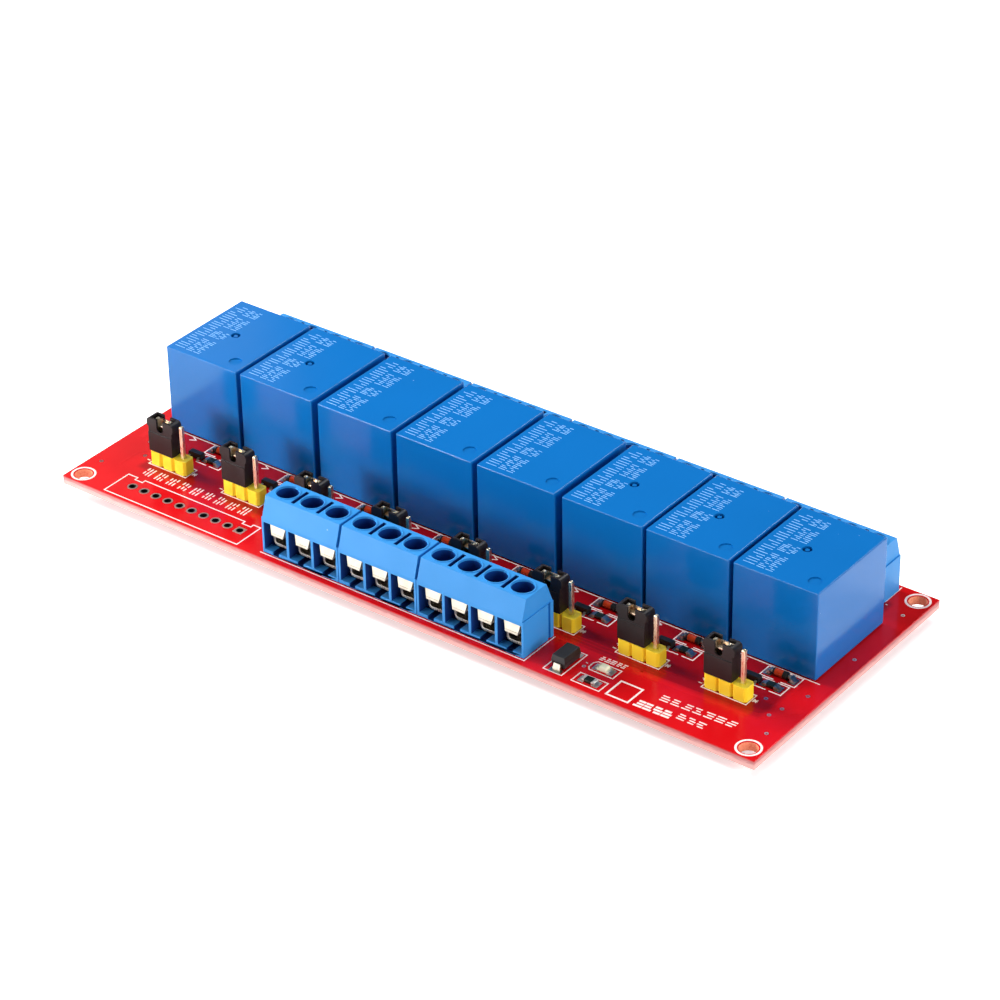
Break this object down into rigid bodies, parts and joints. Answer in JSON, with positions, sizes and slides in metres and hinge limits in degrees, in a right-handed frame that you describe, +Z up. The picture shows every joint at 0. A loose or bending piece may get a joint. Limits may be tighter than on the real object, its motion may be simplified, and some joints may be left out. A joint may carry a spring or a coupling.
{
  "type": "relay module board",
  "caption": "Bare circuit board with sealed relays, two edge rows of screw terminals, a jumper for each relay and corner screw holes.",
  "frame": {"origin": "middle of the board's underside", "axes": "+X along the board, from the empty footprint towards the supply parts; +Y from the jumpers towards the long row of terminals; +Z up, out of the side that carries the relays"},
  "size_m": [0.135, 0.0516, 0.0189],
  "materials": {
    "red_board": "glossy red varnish on glass cloth",
    "blue_terminal_plastic": "moulded, satin",
    "plated_steel": "zinc plated",
    "screw_steel": "zinc plated",
    "tinned_strip": "tinned",
    "blue_relay_plastic": "moulded, glossy",
    "dark_base_plastic": "moulded, plain",
    "magnet_iron": "plain",
    "bobbin_plastic": "moulded, plain",
    "copper_winding": "enamelled wire",
    "spring_copper": "rolled",
    "contact_copper": "tinned",
    "yellow_header_plastic": "moulded, satin",
    "black_cap_plastic": "moulded, satin",
    "pin_metal": "thinly gilded",
    "clip_metal": "plain",
    "diode_glass": "clear orange",
    "resistor_ceramic": "glazed top",
    "black_moulding": "moulded, plain",
    "tinned_lead": "tinned",
    "lamp_plastic": "clear over white"
  },
  "bodies": {
    "root": {"circuit_board": "red_board", "front_terminal_housing_1": "blue_terminal_plastic", "front_terminal_housing_2": "blue_terminal_plastic", "front_terminal_housing_3": "blue_terminal_plastic", "rear_terminal_housing_1": "blue_terminal_plastic", "rear_terminal_housing_2": "blue_terminal_plastic", "rear_terminal_housing_3": "blue_terminal_plastic", "rear_terminal_housing_4": "blue_terminal_plastic", "rear_terminal_housing_5": "blue_terminal_plastic", "rear_terminal_housing_6": "blue_terminal_plastic", "front_terminal_cages": "plated_steel", "rear_terminal_cages": "plated_steel", "front_terminal_screws": "screw_steel", "rear_terminal_screws": "screw_steel", "front_terminal_legs": "tinned_strip", "rear_terminal_legs": "tinned_strip", "relay_cover_1": "blue_relay_plastic", "relay_cover_2": "blue_relay_plastic", "relay_cover_3": "blue_relay_plastic", "relay_cover_4": "blue_relay_plastic", "relay_cover_5": "blue_relay_plastic", "relay_cover_6": "blue_relay_plastic", "relay_cover_7": "blue_relay_plastic", "relay_cover_8": "blue_relay_plastic", "relay_bases": "dark_base_plastic", "relay_yokes": "magnet_iron", "relay_cores": "magnet_iron", "relay_armatures": "magnet_iron", "relay_bobbins": "bobbin_plastic", "relay_windings": "copper_winding", "relay_springs": "spring_copper", "relay_contacts": "contact_copper", "relay_coil_legs": "contact_copper", "jumper_header_1": "yellow_header_plastic", "jumper_header_2": "yellow_header_plastic", "jumper_header_3": "yellow_header_plastic", "jumper_header_4": "yellow_header_plastic", "jumper_header_5": "yellow_header_plastic", "jumper_header_6": "yellow_header_plastic", "jumper_header_7": "yellow_header_plastic", "jumper_header_8": "yellow_header_plastic", "jumper_cap_1": "black_cap_plastic", "jumper_cap_2": "black_cap_plastic", "jumper_cap_3": "black_cap_plastic", "jumper_cap_4": "black_cap_plastic", "jumper_cap_5": "black_cap_plastic", "jumper_cap_6": "black_cap_plastic", "jumper_cap_7": "black_cap_plastic", "jumper_cap_8": "black_cap_plastic", "jumper_pins": "pin_metal", "jumper_clips": "clip_metal", "glass_diodes": "diode_glass", "chip_resistors": "resistor_ceramic", "transistor_bodies": "black_moulding", "supply_diode": "black_moulding", "transistor_leads": "tinned_lead", "supply_diode_tabs": "tinned_lead", "supply_lamp": "lamp_plastic"}
  },
  "joints": []
}
